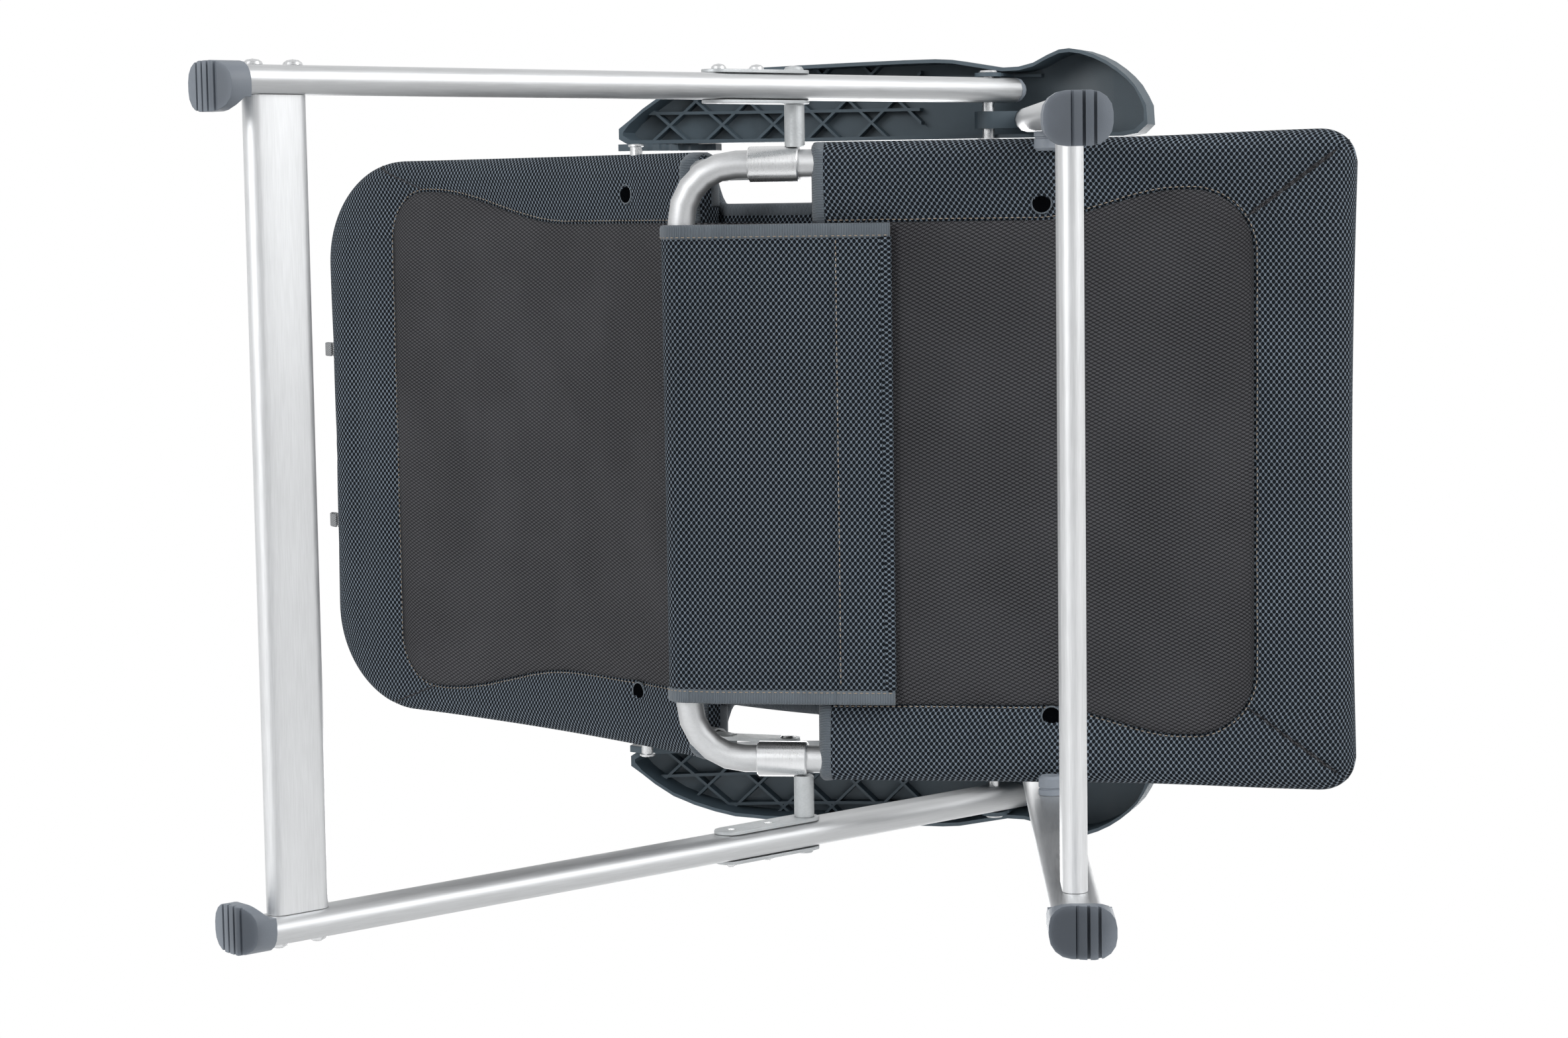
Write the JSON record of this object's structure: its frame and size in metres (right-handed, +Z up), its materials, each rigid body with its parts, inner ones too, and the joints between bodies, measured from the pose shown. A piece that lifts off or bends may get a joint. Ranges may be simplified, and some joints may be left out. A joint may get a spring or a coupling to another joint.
{
  "type": "folding camp chair",
  "caption": "Reclining folding camp chair with oval-tube legs, padded mesh seat and back, and long plastic armrests.",
  "frame": {"origin": "on the floor, under the middle of the overall box", "axes": "+Z up, the sitter faces -Y, +X is the sitter's left; the chair is mirror-symmetric in X"},
  "size_m": [0.6552, 0.9792, 0.7419],
  "materials": {
    "anodised_tube": "satin anodised aluminium tube",
    "bright_sleeve": "brushed bright aluminium sleeve",
    "cast_bracket": "matt light grey cast aluminium",
    "bright_steel": "zinc-plated steel rivets and pins",
    "slate_plastic": "dark slate moulded plastic, fine texture",
    "grey_plastic": "grey-blue moulded plastic, satin",
    "spacer_mesh": "padded slate blue spacer mesh with a grid of small holes",
    "charcoal_mesh": "plain charcoal woven mesh"
  },
  "bodies": {
    "seat": {"seat_front_tube": "anodised_tube", "seat_rear_tube": "anodised_tube", "hinge_sleeve_L": "bright_sleeve", "hinge_sleeve_R": "bright_sleeve", "hinge_lug_L": "cast_bracket", "hinge_lug_R": "cast_bracket", "back_pivot_rivet_L": "bright_steel", "back_pivot_rivet_R": "bright_steel", "seat_pivot_strut_L": "cast_bracket", "seat_pivot_strut_R": "cast_bracket", "seat_cushion": "spacer_mesh", "seat_rear_panel": "charcoal_mesh", "rear_bar_cover": "spacer_mesh"},
    "back": {"back_tube": "anodised_tube", "back_hinge_fork_L": "cast_bracket", "back_hinge_fork_R": "cast_bracket", "armrest_rest_pin_L": "bright_steel", "armrest_rest_pin_R": "bright_steel", "back_cushion": "spacer_mesh", "back_lower_panel": "charcoal_mesh", "head_cushion_tab_L": "charcoal_mesh", "head_cushion_tab_R": "charcoal_mesh"},
    "rear_legs": {"rear_leg_tube_L": "anodised_tube", "rear_leg_tube_R": "anodised_tube", "rear_leg_cap_L": "grey_plastic", "rear_leg_cap_R": "grey_plastic", "rear_foot_L": "grey_plastic", "rear_foot_R": "grey_plastic", "rear_crossbar": "anodised_tube", "crossbar_bolt_lower_L": "bright_steel", "crossbar_bolt_lower_R": "bright_steel", "crossbar_bolt_upper_L": "bright_steel", "crossbar_bolt_upper_R": "bright_steel", "seat_bracket_inner_L": "cast_bracket", "seat_bracket_inner_R": "cast_bracket", "seat_bracket_outer_L": "cast_bracket", "seat_bracket_outer_R": "cast_bracket", "bracket_rivet_lower_L": "bright_steel", "bracket_rivet_lower_R": "bright_steel", "bracket_rivet_upper_L": "bright_steel", "bracket_rivet_upper_R": "bright_steel"},
    "front_legs": {"front_leg_tube_L": "anodised_tube", "front_leg_tube_R": "anodised_tube", "front_leg_hinge_L": "slate_plastic", "front_leg_hinge_R": "slate_plastic", "front_foot_L": "grey_plastic", "front_foot_R": "grey_plastic", "front_crossbar": "anodised_tube", "seat_rest_knob_L": "grey_plastic", "seat_rest_knob_R": "grey_plastic"},
    "armrest_pivot_L": {"armrest_axle_L": "bright_steel"},
    "armrest_L": {"armrest_shell_L": "slate_plastic", "recline_catch_L": "slate_plastic"},
    "armrest_pivot_R": {"armrest_axle_R": "bright_steel"},
    "armrest_R": {"armrest_shell_R": "slate_plastic", "recline_catch_R": "slate_plastic"}
  },
  "joints": [
    {"name": "back_recline", "type": "hinge", "parent": "seat", "child": "back", "pos_m": [0, -0.04183, 0.48574], "axis": [1, 0, 0], "range_deg": [0, 134]},
    {"name": "leg_fold", "type": "hinge", "parent": "seat", "child": "rear_legs", "pos_m": [0, -0.06361, 0.45933], "axis": [1, 0, 0], "range_deg": [0, 49]},
    {"name": "front_leg_fold", "type": "hinge", "parent": "rear_legs", "child": "front_legs", "pos_m": [0, -0.17037, 0.64202], "axis": [1, 0, 0], "range_deg": [0, 44.1]},
    {"name": "armrest_stow_L", "type": "hinge", "parent": "rear_legs", "child": "armrest_pivot_L", "pos_m": [0, -0.17037, 0.64202], "axis": [-1, 0, 0], "range_deg": [0, 39.2]},
    {"name": "armrest_lift_L", "type": "hinge", "parent": "armrest_pivot_L", "child": "armrest_L", "pos_m": [0, -0.17037, 0.64202], "axis": [1, 0, 0], "range_deg": [0, 30]},
    {"name": "armrest_stow_R", "type": "hinge", "parent": "rear_legs", "child": "armrest_pivot_R", "pos_m": [0, -0.17037, 0.64202], "axis": [-1, 0, 0], "range_deg": [0, 39.2]},
    {"name": "armrest_lift_R", "type": "hinge", "parent": "armrest_pivot_R", "child": "armrest_R", "pos_m": [0, -0.17037, 0.64202], "axis": [1, 0, 0], "range_deg": [0, 30]}
  ],
  "couplings": [
    {"joint": "front_leg_fold", "follows": "leg_fold", "ratio": 0.9},
    {"joint": "armrest_stow_L", "follows": "leg_fold", "ratio": 0.8},
    {"joint": "armrest_stow_R", "follows": "leg_fold", "ratio": 0.8}
  ]
}
